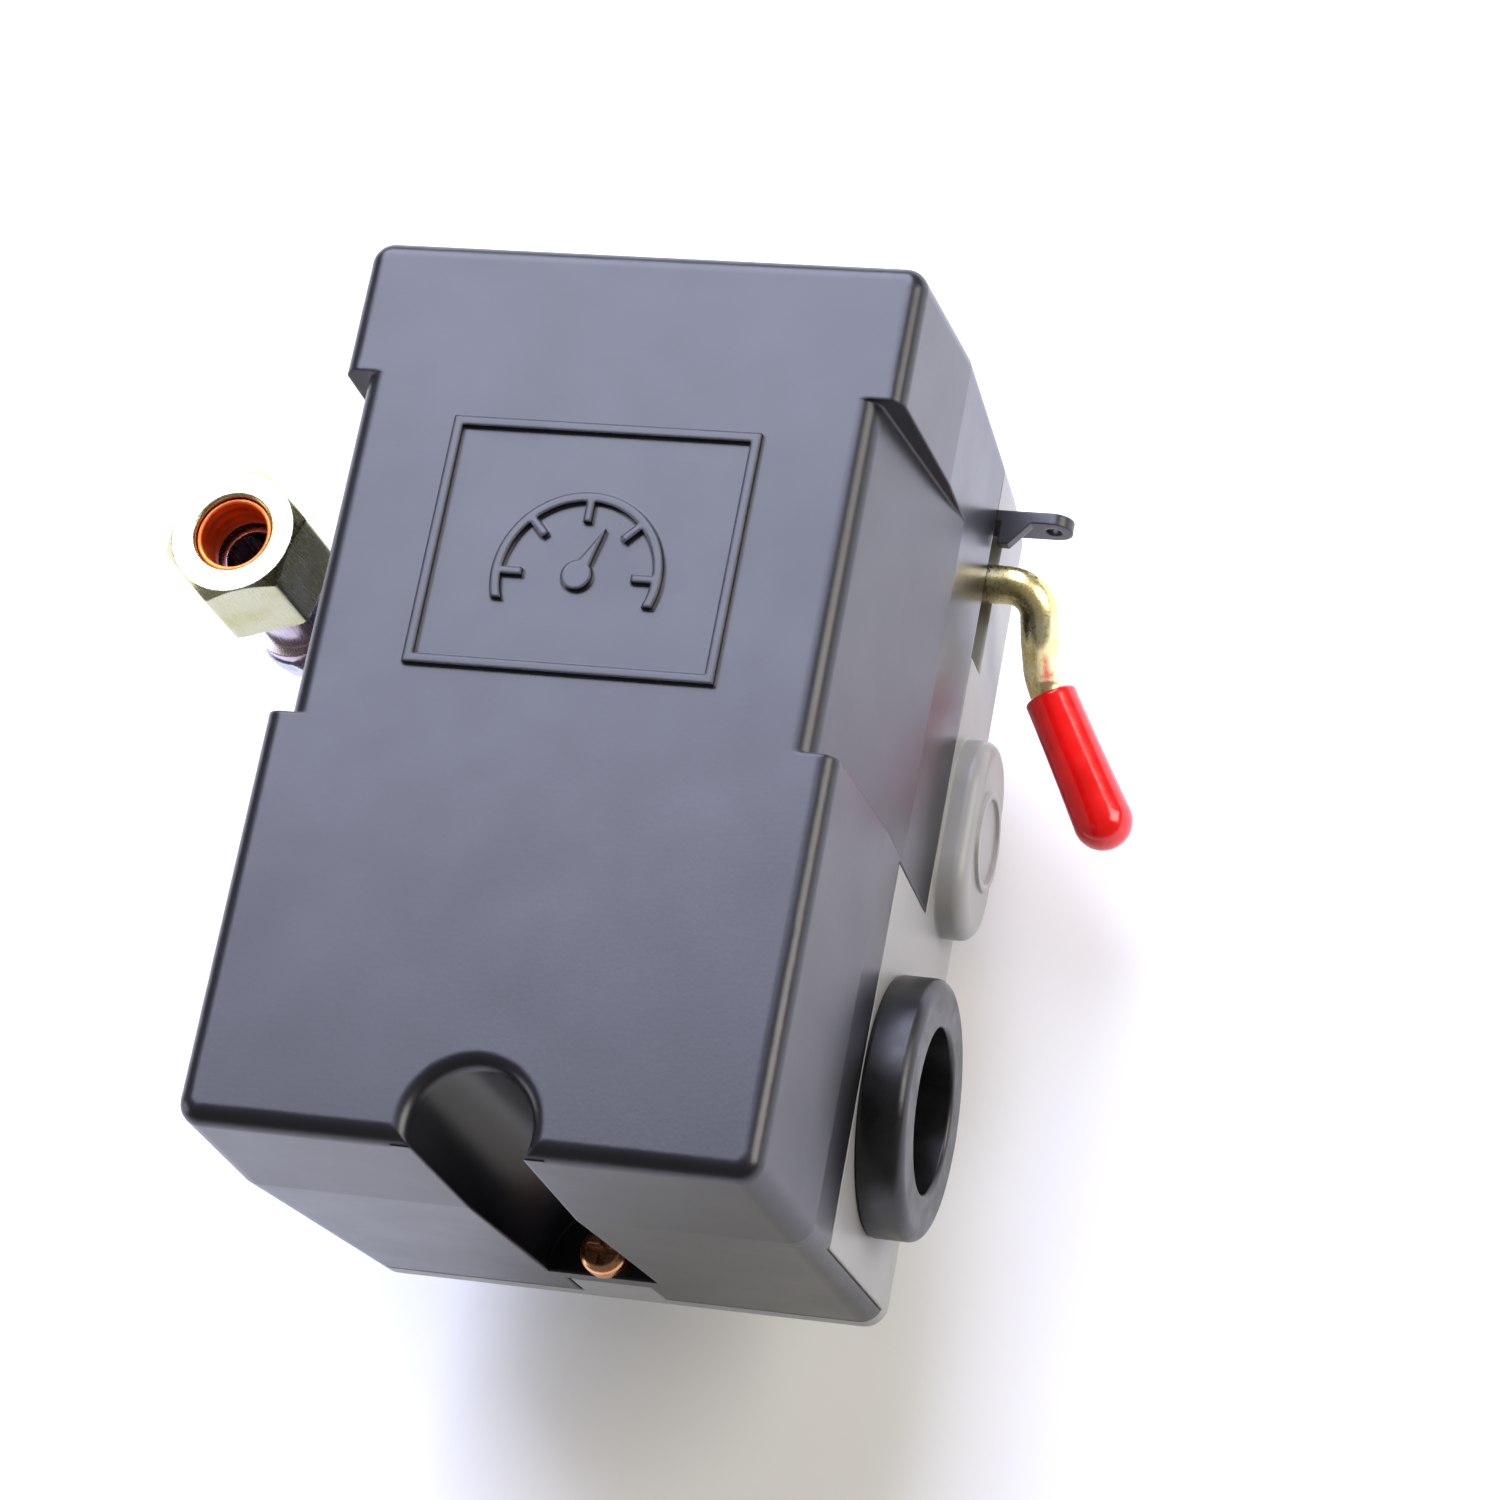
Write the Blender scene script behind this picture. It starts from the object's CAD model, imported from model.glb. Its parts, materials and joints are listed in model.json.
"""Looks of a compressor pressure switch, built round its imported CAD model.

Every length in the classes below is in millimetres and is turned to metres by MM. Places come from
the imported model: its node boxes, mounts and joints.
"""
import json
import logging
import math
from dataclasses import dataclass, field
from enum import Enum

import bpy
import numpy as np
from mathutils import Matrix, Vector


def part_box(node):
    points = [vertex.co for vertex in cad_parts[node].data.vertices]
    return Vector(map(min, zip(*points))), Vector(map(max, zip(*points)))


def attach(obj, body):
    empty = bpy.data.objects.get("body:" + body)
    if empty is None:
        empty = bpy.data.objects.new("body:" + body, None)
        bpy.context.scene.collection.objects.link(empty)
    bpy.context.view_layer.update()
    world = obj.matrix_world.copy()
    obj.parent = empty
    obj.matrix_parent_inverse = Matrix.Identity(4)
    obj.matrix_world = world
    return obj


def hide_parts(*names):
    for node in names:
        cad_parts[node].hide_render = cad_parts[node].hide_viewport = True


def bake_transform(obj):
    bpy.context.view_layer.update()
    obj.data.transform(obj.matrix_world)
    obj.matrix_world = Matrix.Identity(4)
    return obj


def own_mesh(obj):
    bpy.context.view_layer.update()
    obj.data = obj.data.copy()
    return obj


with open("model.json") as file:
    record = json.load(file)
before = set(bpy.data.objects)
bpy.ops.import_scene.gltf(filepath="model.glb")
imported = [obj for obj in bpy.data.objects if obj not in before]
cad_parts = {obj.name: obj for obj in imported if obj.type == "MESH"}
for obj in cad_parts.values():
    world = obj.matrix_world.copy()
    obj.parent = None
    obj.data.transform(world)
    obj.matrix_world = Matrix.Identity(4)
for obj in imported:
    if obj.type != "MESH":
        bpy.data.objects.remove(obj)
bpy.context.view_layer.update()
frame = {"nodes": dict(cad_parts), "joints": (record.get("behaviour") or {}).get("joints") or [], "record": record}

MM = 0.001
LOG = logging.getLogger("pressure_switch")
Array = np.ndarray


class Axis(Enum):
    """Direction that a drawn, turned or rolled grain runs in."""

    X = 0
    Y = 1
    Z = 2


# ------------------------------------------------------------------ small helpers
def linear(hex_colour: str) -> tuple:
    """Turn an sRGB hex colour into a linear, opaque RGBA colour.

    Args:
        hex_colour: six hexadecimal digits, such as "d2cc9a".

    Returns:
        Four linear values.
    """
    srgb = np.array([int(hex_colour[i:i + 2], 16) for i in (0, 2, 4)]) / 255.0
    low = srgb / 12.92
    high = ((srgb + 0.055) / 1.055) ** 2.4
    return (*np.where(srgb <= 0.04045, low, high).tolist(), 1.0)


def per_metre(size_mm: float) -> float:
    """Scale of a noise texture whose features are size_mm across."""
    return 1.0 / (size_mm * MM)


def add_node(tree: bpy.types.NodeTree, kind: str, settings: dict | None = None,
             links: dict | None = None) -> bpy.types.Node:
    """Add a shader node, set it up and wire its inputs.

    Args:
        tree: node tree to add to.
        kind: Blender's name of the node type.
        settings: node attributes, or default values of inputs, by name or number.
        links: output sockets to join to inputs, by the input's name or number.

    Returns:
        The new node.
    """
    node = tree.nodes.new(kind)
    for key, value in (settings or {}).items():
        if isinstance(key, str) and hasattr(node, key):
            setattr(node, key, value)
        else:
            node.inputs[key].default_value = value
    for key, source in (links or {}).items():
        tree.links.new(source, node.inputs[key])
    return node


def mount(name: str) -> dict:
    """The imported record's mount of that name."""
    return next(m for m in frame["record"]["mounts"] if m["name"] == name)


def joint(name: str) -> dict:
    """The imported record's joint of that name."""
    return next(j for j in frame["joints"] if j["name"] == name)


# ------------------------------------------------------------------ finishes
@dataclass(frozen=True)
class Surface:
    """A surface being wired: its material, tree, shader and object coordinates."""

    material: bpy.types.Material
    tree: bpy.types.NodeTree
    shader: bpy.types.Node
    place: bpy.types.NodeSocket

    def noise(self, size_mm: float, detail: float = 3.0,
              stretch: tuple = (1.0, 1.0, 1.0)) -> bpy.types.NodeSocket:
        """Noise whose features are size_mm across, drawn out along an axis whose stretch is below 1."""
        spread = add_node(self.tree, "ShaderNodeMapping", {"Scale": stretch}, {"Vector": self.place})
        settings = {"Scale": per_metre(size_mm), "Detail": detail, "Roughness": 0.55}
        node = add_node(self.tree, "ShaderNodeTexNoise", settings, {"Vector": spread.outputs[0]})
        return node.outputs["Fac"]

    def remap(self, value: bpy.types.NodeSocket, low: float, high: float, to_low: float,
              to_high: float) -> bpy.types.NodeSocket:
        """Value between low and high, carried to the range from to_low to to_high."""
        settings = {"From Min": low, "From Max": high, "To Min": to_low, "To Max": to_high}
        return add_node(self.tree, "ShaderNodeMapRange", settings, {"Value": value}).outputs["Result"]

    def mix(self, amount: bpy.types.NodeSocket, first: object, second: object) -> bpy.types.NodeSocket:
        """Colour that goes from first to second as amount goes from 0 to 1."""
        node = add_node(self.tree, "ShaderNodeMix", {"data_type": "RGBA"}, {0: amount})
        for index, colour in ((6, first), (7, second)):
            if isinstance(colour, bpy.types.NodeSocket):
                self.tree.links.new(colour, node.inputs[index])
            else:
                node.inputs[index].default_value = colour
        return node.outputs[2]

    def times(self, first: bpy.types.NodeSocket, second: bpy.types.NodeSocket) -> bpy.types.NodeSocket:
        """Product of two values."""
        node = add_node(self.tree, "ShaderNodeMath", {"operation": "MULTIPLY"}, {0: first, 1: second})
        return node.outputs[0]

    def rounded_edges(self, radius_mm: float) -> tuple:
        """Normal of edges rounded to radius_mm, and how strongly each point is on an edge."""
        rounded = add_node(self.tree, "ShaderNodeBevel", {"samples": 6, "Radius": radius_mm * MM})
        flat = add_node(self.tree, "ShaderNodeNewGeometry")
        facing = add_node(self.tree, "ShaderNodeVectorMath", {"operation": "DOT_PRODUCT"},
                          {0: rounded.outputs[0], 1: flat.outputs["Normal"]})
        on_edge = self.remap(facing.outputs["Value"], 0.995, 0.86, 0.0, 1.0)
        return rounded.outputs[0], on_edge

    def bump(self, height: bpy.types.NodeSocket, depth_mm: float,
             normal: bpy.types.NodeSocket | None = None) -> bpy.types.NodeSocket:
        """Normal of a relief depth_mm deep, laid over an earlier normal."""
        links = {"Height": height}
        if normal is not None:
            links["Normal"] = normal
        settings = {"Strength": 1.0, "Distance": depth_mm * MM}
        return add_node(self.tree, "ShaderNodeBump", settings, links).outputs[0]

    def wire(self, socket: str, source: bpy.types.NodeSocket) -> None:
        """Join a value to one of the shader's inputs."""
        self.tree.links.new(source, self.shader.inputs[socket])


def new_surface(name: str, metallic: float, roughness: float, **sockets: float) -> Surface:
    """Start a material with a Principled shader.

    Args:
        name: the material's name.
        metallic: 1 for bare metal, 0 otherwise.
        roughness: even roughness, used where no pattern drives it.
        **sockets: further even values, by the socket's name with underscores for spaces.

    Returns:
        The surface, ready for patterns.
    """
    material = bpy.data.materials.new(name)
    material.use_nodes = True
    tree = material.node_tree
    tree.nodes.clear()
    settings = {"Metallic": metallic, "Roughness": roughness}
    settings.update({key.replace("_", " "): value for key, value in sockets.items()})
    shader = add_node(tree, "ShaderNodeBsdfPrincipled", settings)
    add_node(tree, "ShaderNodeOutputMaterial", links={"Surface": shader.outputs[0]})
    place = add_node(tree, "ShaderNodeTexCoord").outputs["Object"]
    return Surface(material, tree, shader, place)


@dataclass(frozen=True)
class MouldedPlastic:
    """Glass-filled nylon or phenolic from a steel mould: an even satin, a faint spark-eroded grain,
    slow tone changes where the melt flowed, and paler rubbed edges."""

    name: str
    colour: str
    flow_colour: str
    rubbed_colour: str
    roughness: float = 0.36
    grain_mm: float = 0.45        # real grain is about 0.1 mm; drawn coarser so that it shows
    grain_depth_mm: float = 0.006
    flow_mm: float = 22.0
    edge_mm: float = 0.5
    ior: float = 1.5

    def material(self) -> bpy.types.Material:
        """Material with flow marks, grain, rubbed edges and rounded corners."""
        s = new_surface(self.name, 0.0, self.roughness, IOR=self.ior)
        edge_normal, on_edge = s.rounded_edges(self.edge_mm)
        flow = s.remap(s.noise(self.flow_mm, 3.0), 0.35, 0.65, 0.0, 1.0)
        body = s.mix(flow, linear(self.colour), linear(self.flow_colour))
        rub = s.times(on_edge, s.remap(s.noise(3.0, 4.0), 0.42, 0.66, 0.0, 0.75))
        s.wire("Base Color", s.mix(rub, body, linear(self.rubbed_colour)))
        grain = s.noise(self.grain_mm, 2.0)
        handled = s.noise(9.0, 6.0)
        s.wire("Roughness", s.remap(handled, 0.3, 0.7, self.roughness - 0.02, self.roughness + 0.03))
        s.wire("Normal", s.bump(grain, self.grain_depth_mm, edge_normal))
        return s.material


@dataclass(frozen=True)
class PlatedMetal:
    """Rolled, drawn or turned steel or brass under a thin plating: fine lines along the working
    direction, a cloudy tint from the passivation, and duller patches where it has been handled."""

    name: str
    colour: str
    cloud_colour: str
    stain_colour: str
    roughness: float = 0.28
    grain: Axis = Axis.Z
    line_mm: float = 0.25         # real lines are about 0.05 mm apart; drawn coarser so that they show
    line_depth_mm: float = 0.002
    cloud_mm: float = 4.0
    edge_mm: float = 0.25

    def material(self) -> bpy.types.Material:
        """Material with lines, clouds, stains and softened edges."""
        s = new_surface(self.name, 1.0, self.roughness)
        edge_normal, on_edge = s.rounded_edges(self.edge_mm)
        stretch = [1.0, 1.0, 1.0]
        stretch[self.grain.value] = 0.04
        lines = s.noise(self.line_mm, 2.0, tuple(stretch))
        cloud = s.remap(s.noise(self.cloud_mm, 4.0), 0.38, 0.62, 0.0, 1.0)
        tint = s.mix(cloud, linear(self.colour), linear(self.cloud_colour))
        stain = s.remap(s.noise(self.cloud_mm * 2.2, 6.0), 0.56, 0.74, 0.0, 0.6)
        tint = s.mix(stain, tint, linear(self.stain_colour))
        bright = s.mix(on_edge, tint, linear("f2f0ea"))
        s.wire("Base Color", s.mix(s.remap(on_edge, 0.0, 1.0, 0.0, 0.5), tint, bright))
        s.wire("Roughness", s.remap(lines, 0.3, 0.7, self.roughness - 0.07, self.roughness + 0.08))
        s.wire("Normal", s.bump(lines, self.line_depth_mm, edge_normal))
        return s.material


@dataclass(frozen=True)
class CastMetal:
    """Die-cast aluminium as it leaves the die: a dull grey skin with a fine pebble and a few
    darker flow lines, brighter where an edge has been knocked."""

    name: str
    colour: str
    dark_colour: str
    roughness: float = 0.46
    pebble_mm: float = 0.6
    pebble_depth_mm: float = 0.03

    def material(self) -> bpy.types.Material:
        """Material with pebble, flow lines and bright edges."""
        s = new_surface(self.name, 1.0, self.roughness)
        edge_normal, on_edge = s.rounded_edges(0.5)
        flow = s.remap(s.noise(7.0, 6.0, (1.0, 1.0, 0.4)), 0.35, 0.68, 0.0, 1.0)
        skin = s.mix(flow, linear(self.colour), linear(self.dark_colour))
        s.wire("Base Color", s.mix(s.remap(on_edge, 0.0, 1.0, 0.0, 0.6), skin, linear("cfd1d3")))
        pebble = s.noise(self.pebble_mm, 4.0)
        s.wire("Roughness", s.remap(pebble, 0.3, 0.7, self.roughness - 0.08, self.roughness + 0.1))
        s.wire("Normal", s.bump(pebble, self.pebble_depth_mm, edge_normal))
        return s.material


@dataclass(frozen=True)
class Rubber:
    """Compression-moulded rubber: near black, with a soft shine and a powdery bloom in places."""

    name: str
    colour: str = "050505"
    bloom_colour: str = "1d1d1f"
    roughness: float = 0.34

    def material(self) -> bpy.types.Material:
        """Material with bloom and a fine skin texture."""
        s = new_surface(self.name, 0.0, self.roughness, IOR=1.52)
        bloom = s.remap(s.noise(5.0, 6.0), 0.48, 0.72, 0.0, 0.6)
        s.wire("Base Color", s.mix(bloom, linear(self.colour), linear(self.bloom_colour)))
        skin = s.noise(0.5, 3.0)
        s.wire("Roughness", s.remap(s.noise(4.0, 5.0), 0.3, 0.7, self.roughness - 0.08, self.roughness + 0.1))
        s.wire("Normal", s.bump(skin, 0.008))
        return s.material


@dataclass(frozen=True)
class DippedVinyl:
    """Plastisol dip over hot steel: a thick glossy skin with slow ripples and an even strong red."""

    name: str
    colour: str = "ee0c0a"
    thick_colour: str = "c40608"
    roughness: float = 0.16

    def material(self) -> bpy.types.Material:
        """Material with ripples, a thin clear coat and slightly deeper colour where it ran thick."""
        s = new_surface(self.name, 0.0, self.roughness, IOR=1.5, Coat_Weight=0.2, Coat_Roughness=0.06)
        run = s.remap(s.noise(7.0, 3.0), 0.4, 0.68, 0.0, 0.8)
        s.wire("Base Color", s.mix(run, linear(self.colour), linear(self.thick_colour)))
        s.wire("Roughness", s.remap(s.noise(2.0, 4.0), 0.3, 0.7, self.roughness - 0.03, self.roughness + 0.1))
        s.wire("Normal", s.bump(s.noise(2.4, 2.0), 0.05))
        return s.material


@dataclass(frozen=True)
class Paper:
    """Matte studio paper for the floor."""

    name: str = "studio_paper"
    colour: str = "f6f6f4"

    def material(self) -> bpy.types.Material:
        """Material with the faintest of tone changes."""
        s = new_surface(self.name, 0.0, 0.85)
        tone = s.remap(s.noise(160.0, 2.0), 0.3, 0.7, 0.0, 1.0)
        s.wire("Base Color", s.mix(tone, linear(self.colour), linear("f3f3f1")))
        return s.material


COVER_NYLON = MouldedPlastic("moulded_nylon_cover", "131318", "111115", "26262d", roughness=0.30)
BASE_NYLON = MouldedPlastic("moulded_nylon_base", "8d8c88", "84837f", "a3a29e", roughness=0.36)
GUARD_NYLON = MouldedPlastic("moulded_nylon_guard", "1b1b1c", "232324", "48484a", roughness=0.32, edge_mm=0.3)
NATURAL_NYLON = MouldedPlastic("natural_nylon", "d9d6cc", "cdc9bd", "eceae2", roughness=0.42, edge_mm=0.3)
PHENOLIC = MouldedPlastic("moulded_phenolic", "2a201c", "35281f", "5d4a3c", roughness=0.3, edge_mm=0.3)
BUSH_RUBBER = Rubber("moulded_rubber")
CAP_VINYL = DippedVinyl("dipped_red_vinyl")
WIRE_ZINC = PlatedMetal("yellow_zinc_drawn_wire", "f6ecbc", "ecd996", "cdb87a", roughness=0.3, cloud_mm=5.0)
NUT_ZINC = PlatedMetal("pale_yellow_zinc_turned", "c9c6a2", "bdb884", "a19d6c", roughness=0.24, cloud_mm=6.0)
VALVE_NICKEL = PlatedMetal("nickel_plated_turned_brass", "c9bcc4", "b7a6b4", "8f868f", roughness=0.25,
                           cloud_mm=2.5)
SHEET_ZINC = PlatedMetal("zinc_plated_sheet", "b9b9c2", "a9abb8", "c4bd9c", roughness=0.3, grain=Axis.Y)
TURNED_STEEL = PlatedMetal("turned_steel", "9a9b9e", "8a8b8f", "6d6a66", roughness=0.3)
SPRING_STEEL = PlatedMetal("drawn_spring_steel", "6f7175", "5c5e63", "4a4540", roughness=0.3, line_mm=0.4)
STAMPED_BRASS = PlatedMetal("stamped_brass", "c9a24c", "b98f3e", "8a6a34", roughness=0.28, grain=Axis.X)
BARE_COPPER = PlatedMetal("bare_copper", "ff7a30", "ff9350", "e0601e", roughness=0.5, cloud_mm=3.0)
SCREW_COPPER = PlatedMetal("copper_plated_screw", "d08a5a", "e0a678", "8d5030", roughness=0.26, cloud_mm=2.0)
EARTH_GREEN = PlatedMetal("green_passivated_screw", "3f8f55", "2f7a46", "285c38", roughness=0.35,
                          cloud_mm=2.0)
MANIFOLD_CAST = CastMetal("die_cast_aluminium", "a6a8aa", "8b8d90")


def dress(node: str, material: bpy.types.Material) -> None:
    """Give a CAD node its finish.

    Args:
        node: the CAD node's name.
        material: the finish.
    """
    piece = frame["nodes"][node]
    if not piece.material_slots:
        piece.data.materials.append(material)
    for slot in piece.material_slots:
        slot.material = material
    LOG.info("dressed %s in %s", node, material.name)


# ------------------------------------------------------------------ surfaces from numbers
def grid_faces(rows: int, columns: int, loop_rows: bool, loop_columns: bool) -> Array:
    """Corner numbers of the quads of a grid of points.

    Args:
        rows: number of rows.
        columns: number of points in a row.
        loop_rows: whether the last row joins the first.
        loop_columns: whether the last column joins the first.

    Returns:
        One row of four corner numbers for each quad.
    """
    r = np.arange(rows if loop_rows else rows - 1)
    c = np.arange(columns if loop_columns else columns - 1)
    row, column = np.meshgrid(r, c, indexing="ij")
    next_row = (row + 1) % rows
    next_column = (column + 1) % columns
    corners = [row * columns + column, row * columns + next_column,
               next_row * columns + next_column, next_row * columns + column]
    return np.stack(corners, axis=-1).reshape(-1, 4)


def piece_from(name: str, points: Array, faces: list, material: bpy.types.Material,
               sharp_deg: float = 32.0) -> bpy.types.Object:
    """Make a smooth-shaded object from points in metres and faces.

    Args:
        name: the object's name.
        points: one row of three coordinates for each point.
        faces: corner numbers of each face.
        material: the finish.
        sharp_deg: edges that turn more than this stay crisp.

    Returns:
        The object, linked to the scene, at the origin.
    """
    mesh = bpy.data.meshes.new(name)
    mesh.from_pydata(points.tolist(), [], faces)
    mesh.materials.append(material)
    mesh.polygons.foreach_set("use_smooth", np.ones(len(mesh.polygons), dtype=bool))
    mesh.set_sharp_from_angle(angle=math.radians(sharp_deg))
    mesh.validate()
    mesh.update()
    piece = bpy.data.objects.new(name, mesh)
    bpy.context.scene.collection.objects.link(piece)
    LOG.info("built %s: %d faces", name, len(mesh.polygons))
    return piece


def basis(direction: Array) -> Array:
    """Three unit axes as columns, the third along direction."""
    w = np.asarray(direction, float) / np.linalg.norm(direction)
    hint = np.array([0.0, 0.0, 1.0]) if abs(w[2]) < 0.9 else np.array([1.0, 0.0, 0.0])
    u = np.cross(hint, w)
    u /= np.linalg.norm(u)
    return np.stack([u, np.cross(w, u), w], axis=1)


def stood(points: Array, foot: Array, direction: Array) -> Array:
    """Points modelled in millimetres about +Z, stood on foot along direction, in metres."""
    return points.reshape(-1, 3) @ basis(direction).T * MM + np.asarray(foot, float)


def lathe(name: str, radius: Array, height: Array, foot: Array, direction: Array,
          material: bpy.types.Material, closed: bool = True, sharp_deg: float = 32.0) -> bpy.types.Object:
    """Turn a profile about an axis.

    The point at angle t in row k is (radius cos t, radius sin t, height). radius has one value in
    each row for a round piece, or one for each angle too, for a piece that isn't round.

    Args:
        name: the object's name.
        radius: rows by angles, in millimetres.
        height: rows by angles, in millimetres.
        foot: where height 0 is, in metres.
        direction: the axis.
        material: the finish.
        closed: whether the last row joins the first; otherwise both ends are poles.
        sharp_deg: edges that turn more than this stay crisp.

    Returns:
        The object.
    """
    rows, columns = radius.shape
    angle = np.linspace(0.0, 2.0 * np.pi, columns, endpoint=False)[None, :]
    points = np.stack([radius * np.cos(angle), radius * np.sin(angle), height + 0.0 * angle], axis=-1)
    faces = grid_faces(rows, columns, closed, True).tolist()
    flat = points.reshape(-1, 3)
    if not closed:
        first, last = len(flat), len(flat) + 1
        flat = np.vstack([flat, [0.0, 0.0, height[0].mean()], [0.0, 0.0, height[-1].mean()]])
        around = np.arange(columns)
        beyond = (around + 1) % columns
        end = (rows - 1) * columns
        faces += np.stack([np.full(columns, first), beyond, around], axis=1).tolist()
        faces += np.stack([np.full(columns, last), around + end, beyond + end], axis=1).tolist()
    return piece_from(name, stood(flat, foot, direction), faces, material, sharp_deg)


def round_rows(profile: list, columns: int) -> tuple:
    """Radius and height grids of a round piece from its (radius, height) profile."""
    table = np.array(profile, float)
    return np.repeat(table[:, :1], columns, axis=1), np.repeat(table[:, 1:], columns, axis=1)


def corner_arc(centre_r: float, centre_h: float, radius: float, start_deg: float, stop_deg: float,
               steps: int = 7) -> list:
    """Profile points on a circle arc: centre plus radius (cos a, sin a) from start to stop."""
    a = np.radians(np.linspace(start_deg, stop_deg, steps))
    return np.stack([centre_r + radius * np.cos(a), centre_h + radius * np.sin(a)], axis=1).tolist()


def thread_relief(angle: Array, height: Array, pitch: float, depth: float) -> Array:
    """Depth of a V thread: a triangle wave of height over pitch, shifted one pitch in each turn."""
    phase = (height / pitch - angle / (2.0 * np.pi)) % 1.0
    return depth * np.abs(2.0 * phase - 1.0)


def tube(name: str, path: Array, radius: Array, hint: Array, material: bpy.types.Material,
         columns: int = 32) -> bpy.types.Object:
    """Carry a circle along a path, with a pole at each end.

    At each path point the tangent T comes from its neighbours, U is hint x T made unit, V is T x U,
    and the ring's point at angle t is P + radius (U cos t + V sin t).

    Args:
        name: the object's name.
        path: points in metres.
        radius: metres, one for each path point.
        hint: a direction that the path never runs along.
        material: the finish.
        columns: points in a ring.

    Returns:
        The object.
    """
    tangent = np.gradient(path, axis=0)
    tangent /= np.linalg.norm(tangent, axis=1, keepdims=True)
    u = np.cross(hint, tangent)
    u /= np.linalg.norm(u, axis=1, keepdims=True)
    v = np.cross(tangent, u)
    angle = np.linspace(0.0, 2.0 * np.pi, columns, endpoint=False)
    ring = u[:, None, :] * np.cos(angle)[None, :, None] + v[:, None, :] * np.sin(angle)[None, :, None]
    points = path[:, None, :] + radius[:, None, None] * ring
    rows = len(path)
    flat = np.vstack([points.reshape(-1, 3), path[0], path[-1]])
    faces = grid_faces(rows, columns, False, True).tolist()
    around = np.arange(columns)
    beyond = (around + 1) % columns
    first = rows * columns
    end = first - columns
    faces += np.stack([np.full(columns, first), beyond, around], axis=1).tolist()
    faces += np.stack([np.full(columns, first + 1), around + end, beyond + end], axis=1).tolist()
    return piece_from(name, flat, faces, material)


def bent_path(points: Array, bends: list, step: float) -> Array:
    """Line through corner points, with each corner rounded to a circle arc.

    Each arc leaves the incoming run r tan(turn / 2) before the corner and turns about the centre
    that lies r / cos(turn / 2) along the bisector.

    Args:
        points: corners in metres, with both ends.
        bends: radius of each inner corner, in metres.
        step: spacing of the points on the line, in metres.

    Returns:
        Points along the line.
    """
    pieces = []
    start = points[0]
    for before, corner, after, r in zip(points[:-2], points[1:-1], points[2:], bends):
        a = (corner - before) / np.linalg.norm(corner - before)
        b = (after - corner) / np.linalg.norm(after - corner)
        turn = math.acos(float(np.clip(a @ b, -1.0, 1.0)))
        reach = r * math.tan(turn / 2.0)
        first = corner - a * reach
        run = np.linalg.norm(first - start)
        pieces.append(start + (first - start) * np.arange(0.0, 1.0, step / run)[:, None])
        inward = (b - a) / np.linalg.norm(b - a)
        centre = corner + inward * r / math.cos(turn / 2.0)
        side = (first - centre) / r
        t = np.linspace(0.0, turn, max(6, int(turn * r / step)), endpoint=False)[:, None]
        pieces.append(centre + r * (side * np.cos(t) + a * np.sin(t)))
        start = corner + b * reach
    run = np.linalg.norm(points[-1] - start)
    pieces.append(start + (points[-1] - start) * np.linspace(0.0, 1.0, max(3, int(run / step)))[:, None])
    return np.vstack(pieces)


# ------------------------------------------------------------------ sub-assemblies
@dataclass
class Case:
    """Cover, base, cover screw and lever guard, all kept from the CAD model."""

    cover: MouldedPlastic = COVER_NYLON
    base: MouldedPlastic = BASE_NYLON

    def build(self) -> None:
        """Dress the case's nodes."""
        dress("cover", self.cover.material())
        dress("base", self.base.material())
        dress("lever_guard", GUARD_NYLON.material())
        dress("cover_screw", SCREW_COPPER.material())


@dataclass
class CableBush:
    """Rubber bush in the cable entry, with a rolled outer flange and a tapered inner lip."""

    stand: float = 5.0            # flange, proud of the wall
    neck_radius: float = 10.6
    roll: float = 1.3             # rounding of the flange's outer rim
    mouth_roll: float = 0.5       # rounding of the bore's mouth
    foot_roll: float = 0.5        # rounding of the flange beside the wall
    face_dish: float = 0.12       # hollow of the flange's face
    lip_radius: float = 12.2
    lip_taper: float = 1.2        # how much slimmer the lip's inner end is
    lip_height: float = 2.0
    lip_edge: float = 0.2
    columns: int = 128

    def build(self) -> None:
        """Turn the bush about the cable entry's axis."""
        entry = mount("cable_entry")
        bore = entry["dims"]["r_mm"]
        length = entry["dims"]["length_mm"]
        low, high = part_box("cable_grommet")
        flange = (high.y - low.y) / 2.0 / MM
        inner = self.stand - length
        neck_end = inner + self.lip_height
        edge = self.lip_edge
        outline = [[bore, inner], [self.lip_radius - self.lip_taper, inner]]
        outline += [[self.lip_radius - edge, neck_end - 2.0 * edge], [self.lip_radius - 2.0 * edge, neck_end]]
        outline += [[self.neck_radius, neck_end], [self.neck_radius, 0.0]]
        outline += corner_arc(flange - self.foot_roll, self.foot_roll, self.foot_roll, -90.0, 0.0)
        outline += corner_arc(flange - self.roll, self.stand - self.roll, self.roll, 8.0, 90.0, 11)
        outline += [[(flange + bore) / 2.0, self.stand - self.face_dish]]
        roll = self.mouth_roll
        outline += corner_arc(bore + roll, self.stand - roll, roll, 90.0, 180.0)
        radius, height = round_rows(outline, self.columns)
        piece = lathe("cable_bush", radius, height, entry["pos_m"], entry["axis"], BUSH_RUBBER.material())
        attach(piece, "housing")
        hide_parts("cable_grommet")


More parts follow.
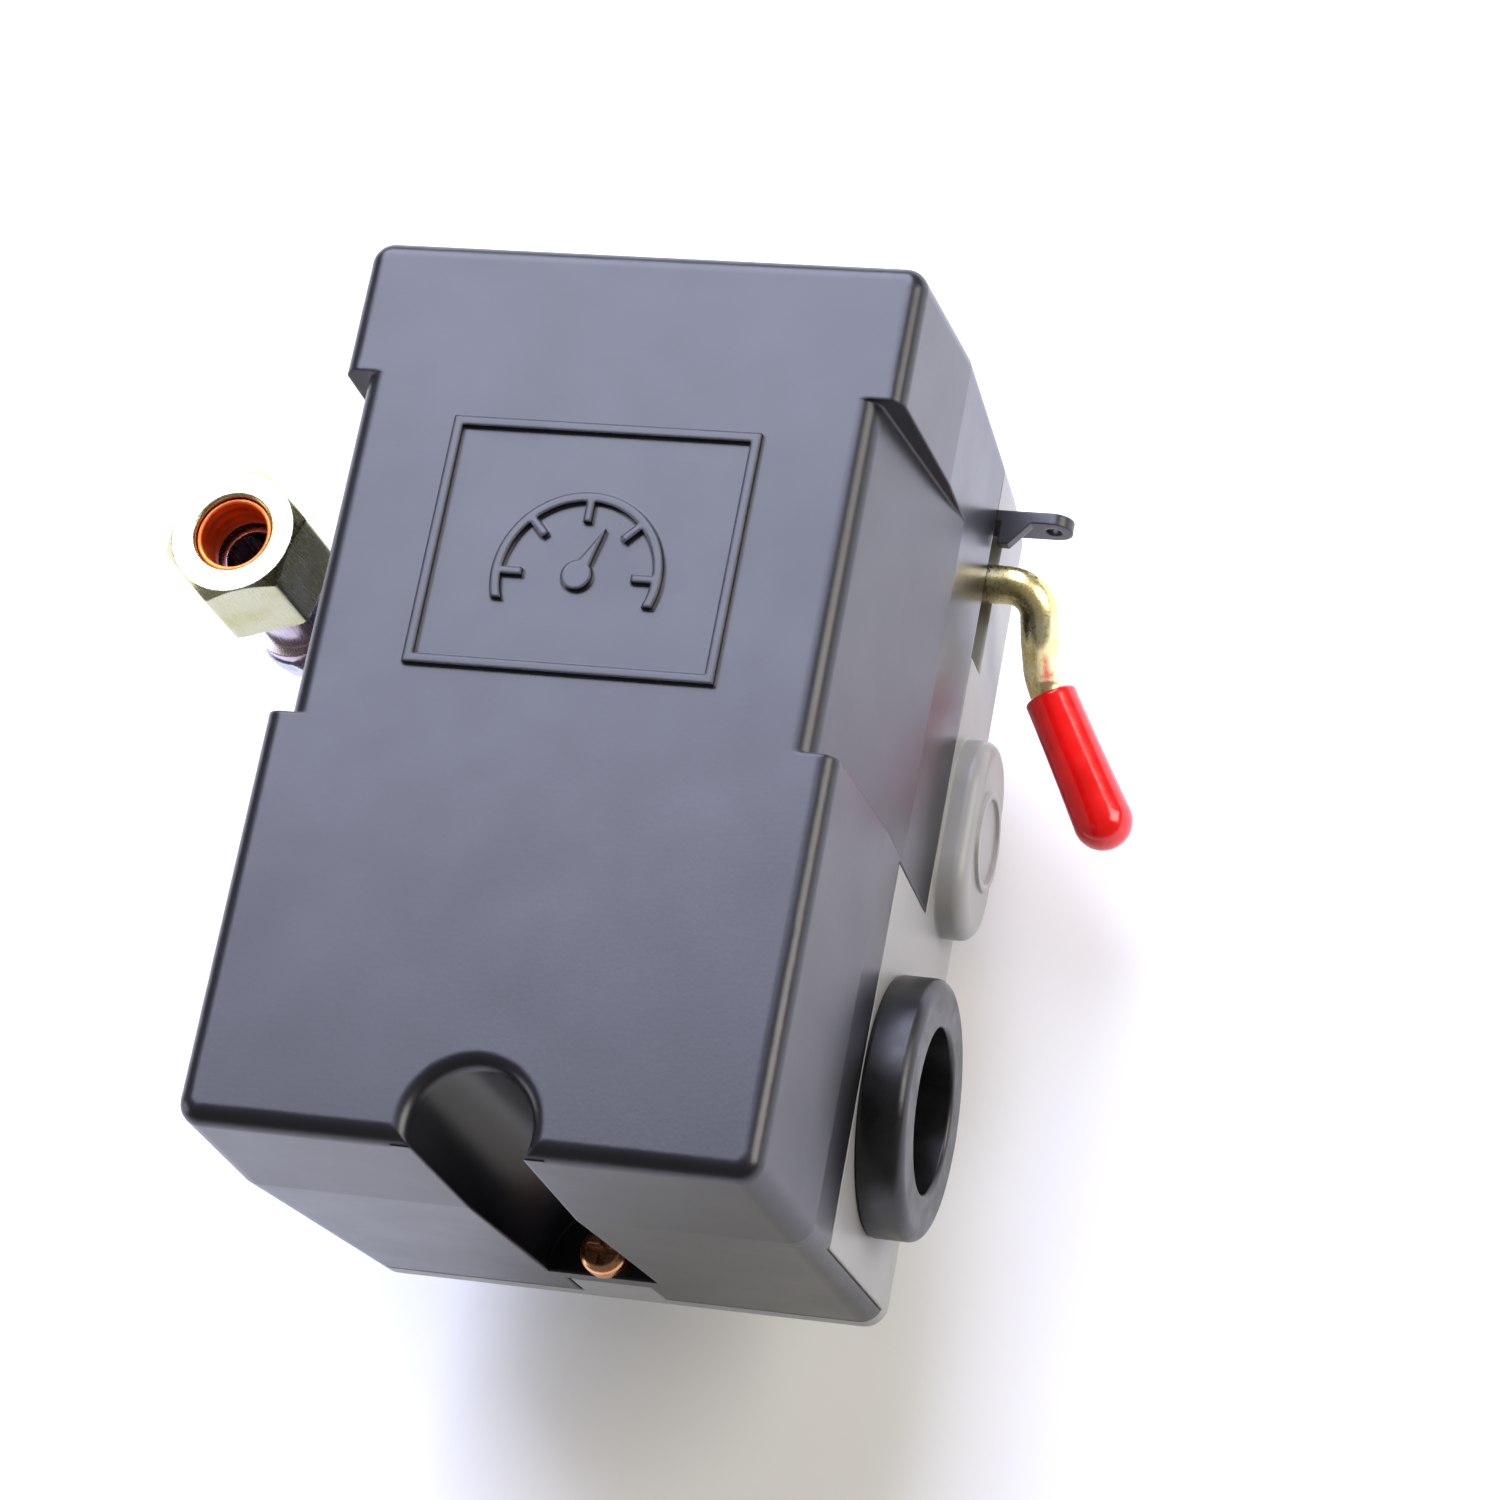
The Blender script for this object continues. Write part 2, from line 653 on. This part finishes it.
@dataclass
class Lever:
    """Bent wire lever with a dipped cap, on a nylon hub."""

    wire_radius: float = 2.1
    start: float = 3.1            # where the wire leaves the post's bore
    corners: list = field(default_factory=lambda: [
        (34.7, 0.0, 0.0), (34.8, -4.4, -3.4), (34.3, -6.8, -9.4), (42.5, -21.1, -13.4)])
    bends: list = field(default_factory=lambda: [3.2, 4.0, 4.0])
    cap_lip_radius: float = 2.9
    cap_radius: float = 3.25      # at the round end
    cap_start: float = 1.9        # past the last bend's corner
    cap_lip_roll: float = 0.5
    cap_lip_height: float = 0.9
    cap_waist: float = 0.05       # how far the barrel draws in at its middle
    path_step: float = 0.5

    def build(self) -> None:
        """Build the wire and its cap, and dress the hub and its post."""
        turn = joint("lever_turn")
        centre = np.array(turn["pos_m"], float)
        points = np.vstack([[self.start, 0.0, 0.0], self.corners]) * MM + centre
        path = bent_path(points, [r * MM for r in self.bends], self.path_step * MM)
        hint = np.array([0.2, -0.6, 0.77])
        radius = np.full(len(path), self.wire_radius * MM)
        wire = tube("lever_rod", path, radius, hint, WIRE_ZINC.material(), 40)
        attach(wire, "lever")
        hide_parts("lever_wire")
        self.build_cap(points[-2], points[-1])
        dress("lever_hub", NATURAL_NYLON.material())
        steel = TURNED_STEEL.material()
        dress("lever_post", steel)
        dress("lever_clip", steel)

    def build_cap(self, corner: Array, end: Array) -> None:
        """Turn the cap: a thick lip hugging the wire, a long barrel and a round nose.

        Args:
            corner: the wire's last bend, in metres.
            end: the wire's free end, in metres.
        """
        along = (end - corner) / np.linalg.norm(end - corner)
        foot = corner + along * self.cap_start * MM
        length = np.linalg.norm(end - foot) / MM
        lip = self.cap_lip_radius
        roll = self.cap_lip_roll
        lip_top = self.cap_lip_height
        outline = [[self.wire_radius, roll / 2.0]]
        outline += corner_arc(lip - roll, roll, roll, -110.0, 0.0, 8)
        share = np.linspace(0.0, 1.0, 18)
        waist = self.cap_waist * np.sin(np.pi * share)
        barrel = lip + (self.cap_radius - lip) * share - waist
        outline += np.stack([barrel, lip_top + (length - lip_top) * share], axis=1).tolist()
        outline += corner_arc(0.0, length, self.cap_radius, 6.0, 88.0, 15)
        radius, height = round_rows(outline, 64)
        vinyl = CAP_VINYL.material()
        cap = lathe("lever_dip", radius, height, foot, along, vinyl, closed=False, sharp_deg=70.0)
        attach(cap, "lever")
        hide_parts("lever_cap")


@dataclass
class Unloader:
    """Unloader valve: compression nut, copper sleeve, valve body and its bracket."""

    across_flats: float = 14.0
    turn_deg: float = -12.0       # nut's first flat, from +X
    mouth_radius: float = 4.3
    mouth_roll: float = 0.35
    mouth_run: float = 0.8        # bore's first plain row, below the face
    thread_lead: float = 0.2      # bore's last plain row, above the thread
    corner_power: float = 60.0    # how crisp the hexagon's corners are
    bevel_crispness: float = 24.0  # how crisply the flats meet the end cones, per millimetre
    bevel_inset: float = 0.15     # end cones, inside the flats
    foot_slope: float = 2.0
    foot_stand: float = 1.0       # foot cone's lower edge, outside the face cone's upper edge
    foot_zone: float = 0.8        # height with closer rows at the foot
    face_zone: float = 1.6        # height with closer rows at the face
    thread_length: float = 5.0
    thread_radius: float = 5.0
    thread_gap: float = 0.02      # crests, inside the stem
    thread_pitch: float = 1.25
    thread_depth: float = 0.5
    rib_depth: float = 0.05       # half the height of the sleeve's inner ribs
    rib_pitch: float = 1.6
    sleeve_foot: tuple = (0.2, 0.3)  # bevel of the sleeve's lower edge, in and up
    sleeve_rim: float = 0.22      # rounding of the sleeve's outer mouth
    sleeve_lip: float = 0.3       # rounding of the sleeve's inner mouth
    columns: int = 288

    def build(self) -> None:
        """Build the nut and sleeve, and dress the rest of the valve."""
        low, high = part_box("compression_nut")
        foot = np.array([(low.x + high.x) / 2.0, (low.y + high.y) / 2.0, low.z])
        self.build_nut(foot, (high.z - low.z) / MM)
        self.build_sleeve()
        dress("valve_body", VALVE_NICKEL.material())
        dress("valve_bracket", SHEET_ZINC.material())
        dress("unloader_pin", TURNED_STEEL.material())

    def build_nut(self, foot: Array, length: float) -> None:
        """Build the nut.

        The outside radius at angle t is the smooth meeting of six flats,
        (sum of (cos(t - flat) / half width)^p)^(-1/p), cut down by a cone near each end. At the face
        the cone narrows 1 mm for each millimetre up; at the foot it widens foot_slope mm for each
        millimetre up. The bore is threaded below and plain at the mouth.

        Args:
            foot: centre of the nut's lower face, in metres.
            length: the nut's height, in millimetres.
        """
        half = self.across_flats / 2.0
        angle = np.linspace(0.0, 2.0 * np.pi, self.columns, endpoint=False)
        lathe_start = 90.0        # an upright lathe's first angle is at -Y
        flats = np.radians(self.turn_deg + lathe_start + np.arange(0.0, 360.0, 60.0))
        push = np.clip(np.cos(angle[None, :] - flats[:, None]), 0.0, 1.0) / half
        hexagon = (push ** self.corner_power).sum(axis=0) ** (-1.0 / self.corner_power)
        low_rows = np.linspace(0.0, self.foot_zone, 8)
        middle_rows = np.linspace(self.foot_zone, length - self.face_zone, 10)[1:-1]
        high_rows = length - np.linspace(self.face_zone, 0.0, 34)
        outer_h = np.concatenate([low_rows, middle_rows, high_rows])[:, None]
        foot_cone = self.foot_stand + self.foot_slope * outer_h
        cone = half - self.bevel_inset + np.minimum(foot_cone, length - outer_h)
        k = self.bevel_crispness
        outer_r = -np.logaddexp(-k * hexagon[None, :], -k * cone) / k
        outer_h = outer_h + np.zeros_like(outer_r)
        roll = self.mouth_roll
        lip = np.array(corner_arc(self.mouth_radius + roll, length - roll, roll, 90.0, 180.0, 6))
        bore_h = np.linspace(length - self.mouth_run, self.thread_length + self.thread_lead, 8)
        thread_h = np.linspace(self.thread_length, 0.0, 80)[:, None]
        relief = thread_relief(angle[None, :], thread_h, self.thread_pitch, self.thread_depth)
        inner = np.vstack([lip, np.stack([np.full(len(bore_h), self.mouth_radius), bore_h], axis=1)])
        inner_r, inner_h = round_rows(inner, self.columns)
        radius = np.vstack([outer_r, inner_r, self.thread_radius - self.thread_gap + relief])
        height = np.vstack([outer_h, inner_h, thread_h + np.zeros_like(relief)])
        nut = lathe("tube_nut", radius, height, foot, (0.0, 0.0, 1.0), NUT_ZINC.material(), sharp_deg=40.0)
        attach(nut, "housing")
        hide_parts("compression_nut")

    def build_sleeve(self) -> None:
        """Turn the copper sleeve, flared at its mouth and lightly ribbed inside."""
        tube_mount = mount("unloader_tube")
        low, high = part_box("compression_sleeve")
        outer = (high.x - low.x) / 2.0 / MM
        bore = tube_mount["dims"]["r_mm"]
        length = tube_mount["dims"]["length_mm"]
        foot = np.array([(low.x + high.x) / 2.0, (low.y + high.y) / 2.0, low.z])
        foot_in, foot_up = self.sleeve_foot
        rim = self.sleeve_rim
        lip = self.sleeve_lip
        down = np.linspace(length - 0.5, foot_up, 60)
        rib = bore + self.rib_depth * (1.0 + np.cos(down * 2.0 * np.pi / self.rib_pitch))
        outline = [[bore, 0.0], [outer - foot_in, 0.0], [outer, foot_up], [outer, length - 0.25]]
        outline += corner_arc(outer - rim, length - rim, rim, 0.0, 90.0)
        outline += corner_arc(bore + lip, length - lip, lip, 90.0, 180.0)
        outline += np.stack([rib, down], axis=1).tolist()
        radius, height = round_rows(outline, 96)
        sleeve = lathe("tube_sleeve", radius, height, foot, (0.0, 0.0, 1.0), BARE_COPPER.material())
        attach(sleeve, "housing")
        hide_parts("compression_sleeve")


@dataclass
class Coil:
    """Compression spring with closed, ground ends.

    Its lower end is pushed up by a joint. Where its upper end follows another body, the coil is split
    at half its turns, so that each half gives way to its own end.
    """

    node: str
    turns: float
    wire: float                   # wire diameter, millimetres
    squeezed_by: str              # joint that pushes its lower end up
    travel: float                 # how far, at the joint's limit, in millimetres
    upper_body: str = ""          # body that its upper end follows, if it moves
    dead_turns: float = 1.0       # closed turns at each end
    dead_lay: float = 0.98        # rise of a closed turn, in wire diameters
    turn_points: int = 40

    def path(self, low: Vector, high: Vector) -> Array:
        """Centre line of the coil inside the node's box.

        At turn n the centre line is at angle 2 pi n, and its height runs from half a wire above the
        box's floor to half a wire below its top, slowly in the closed turns and evenly between.

        Args:
            low: the box's low corner.
            high: the box's high corner.

        Returns:
            Points from the lower end to the upper end, in metres.
        """
        r = (high.x - low.x) / 2.0 - self.wire * MM / 2.0
        n = np.linspace(0.0, self.turns, int(self.turns * self.turn_points))
        free = np.clip((n - self.dead_turns) / (self.turns - 2.0 * self.dead_turns), 0.0, 1.0)
        closed = np.minimum(n, self.dead_turns) + np.maximum(n - (self.turns - self.dead_turns), 0.0)
        dead_rise = self.wire * MM * self.dead_lay
        span = high.z - low.z - self.wire * MM - 2.0 * self.dead_turns * dead_rise
        height = low.z + self.wire * MM / 2.0 + closed * dead_rise + free * span
        angle = 2.0 * np.pi * n
        x = (low.x + high.x) / 2.0 + r * np.cos(angle)
        y = (low.y + high.y) / 2.0 + r * np.sin(angle)
        return np.stack([x, y, height], axis=1)

    def wind(self, name: str, path: Array, material: bpy.types.Material) -> bpy.types.Object:
        """Wind the wire along a run of the coil's centre line."""
        radius = np.full(len(path), self.wire * MM / 2.0)
        piece = tube(name, path, radius, np.array([0.0, 0.0, 1.0]), material, 16)
        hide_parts(self.node)
        return piece

    def build(self, material: bpy.types.Material) -> None:
        """Wind the coil and tie its ends to what moves them.

        Args:
            material: the finish.
        """
        low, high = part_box(self.node)
        path = self.path(low, high)
        if self.upper_body:
            half = len(path) // 2
            upper = self.wind(self.node + "_upper", path[half:], material)
            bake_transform(upper)
            path = path[:half + 1]
        lower = self.wind(self.node + "_coil", path, material)
        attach(lower, "housing")
        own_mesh(lower)


@dataclass
class Mechanism:
    """Everything inside the case: plate, arm, piston, springs, contacts and trip bar."""

    range_coil: Coil = field(
        default_factory=lambda: Coil("range_spring", 6.0, 2.4, "arm_lift", 1.07, "seat"))
    valve_coil: Coil = field(
        default_factory=lambda: Coil("unloader_spring", 7.0, 0.6, "plunger_slide", 0.8))

    def build(self) -> None:
        """Wind the springs and dress the inner nodes."""
        spring = SPRING_STEEL.material()
        self.range_coil.build(spring)
        self.valve_coil.build(spring)
        finishes = {
            SHEET_ZINC: ("frame_plate", "pressure_arm", "spring_bracket", "spring_seat"),
            TURNED_STEEL: ("hinge_pin", "range_screw"),
            STAMPED_BRASS: ("terminals", "terminal_screws", "pressure_piston"),
            BARE_COPPER: ("contact_bridges",),
            PHENOLIC: ("contact_block", "contact_carrier"),
            NATURAL_NYLON: ("trip_bar",),
            EARTH_GREEN: ("earth_screw",),
            BUSH_RUBBER: ("diaphragm",),
        }
        for finish, nodes in finishes.items():
            material = finish.material()
            for node in nodes:
                dress(node, material)


@dataclass
class Manifold:
    """Die-cast manifold with its screws and plug."""

    def build(self) -> None:
        """Dress the manifold's nodes."""
        dress("manifold", MANIFOLD_CAST.material())
        steel = TURNED_STEEL.material()
        dress("manifold_screws", steel)
        dress("port_plug", steel)


@dataclass
class Studio:
    """Pale floor, soft lights and the camera."""

    floor_half: float = 3.0                       # metres
    camera_at: tuple = (0.16371, -0.17812, 0.5026)  # metres
    toward_camera: tuple = (0.2997, -0.3344, 0.8935)
    roll_deg: float = 10.97
    lens_mm: float = 117.3
    sensor_mm: float = 36.0
    lights_aim: tuple = (0.0, -0.014, 0.04)       # metres
    surround: float = 0.22                        # strength of the surround's light

    def build(self) -> None:
        """Lay the floor, hang the lights and place the camera."""
        bpy.context.scene.view_settings.view_transform = "Standard"
        self.lay_floor()
        self.hang_light("overhead_panel", (-0.30, 0.88, 1.00), 1.3, 54.0, "dde1ff")
        self.hang_light("right_panel", (1.10, 0.25, 0.75), 0.8, 15.0, "fff8f0")
        self.hang_light("left_panel", (-1.00, -0.30, 0.30), 0.5, 2.0, "ffffff")
        self.light_world()
        self.place_camera()

    def lay_floor(self) -> None:
        """A square of paper at the height that the object stands on."""
        h = self.floor_half
        points = np.array([[-h, -h, 0.0], [h, -h, 0.0], [h, h, 0.0], [-h, h, 0.0]])
        piece_from("floor", points, [[0, 1, 2, 3]], Paper().material())

    def hang_light(self, name: str, place: tuple, size: float, power: float, colour: str) -> None:
        """Hang a square soft panel that faces the object.

        Args:
            name: the light's name.
            place: its centre, in metres.
            size: its side, in metres.
            power: its power, in watts.
            colour: its colour, as sRGB hex.
        """
        data = bpy.data.lights.new(name, "AREA")
        data.size = size
        data.energy = power
        data.color = linear(colour)[:3]
        light = bpy.data.objects.new(name, data)
        light.location = place
        aim = Vector(place) - Vector(self.lights_aim)
        light.rotation_euler = aim.to_track_quat("Z", "Y").to_euler()
        bpy.context.scene.collection.objects.link(light)

    def light_world(self) -> None:
        """An even pale surround."""
        world = bpy.data.worlds.new("studio_surround")
        world.use_nodes = True
        background = world.node_tree.nodes["Background"]
        background.inputs["Color"].default_value = linear("fbf9f5")
        background.inputs["Strength"].default_value = self.surround
        bpy.context.scene.world = world

    def place_camera(self) -> None:
        """Camera above the case's front right corner, rolled about its own line of sight."""
        data = bpy.data.cameras.new("camera")
        data.lens = self.lens_mm
        data.sensor_width = self.sensor_mm
        camera = bpy.data.objects.new("camera", data)
        back = Vector(self.toward_camera).normalized()
        level = Vector((0.0, 1.0, 0.0)).cross(back).normalized()
        right = Matrix.Rotation(math.radians(self.roll_deg), 3, back) @ level
        up = back.cross(right)
        turn = Matrix((right, up, back)).transposed().to_4x4()
        camera.matrix_world = Matrix.Translation(self.camera_at) @ turn
        bpy.context.scene.collection.objects.link(camera)
        bpy.context.scene.camera = camera


def main() -> None:
    """Build the studio and every sub-assembly in order."""
    logging.basicConfig(level=logging.INFO, format="%(name)s: %(message)s")
    for part in (Studio(), Case(), CableBush(), Lever(), Unloader(), Mechanism(), Manifold()):
        LOG.info("building %s", type(part).__name__)
        part.build()


if __name__ == "__main__":
    main()
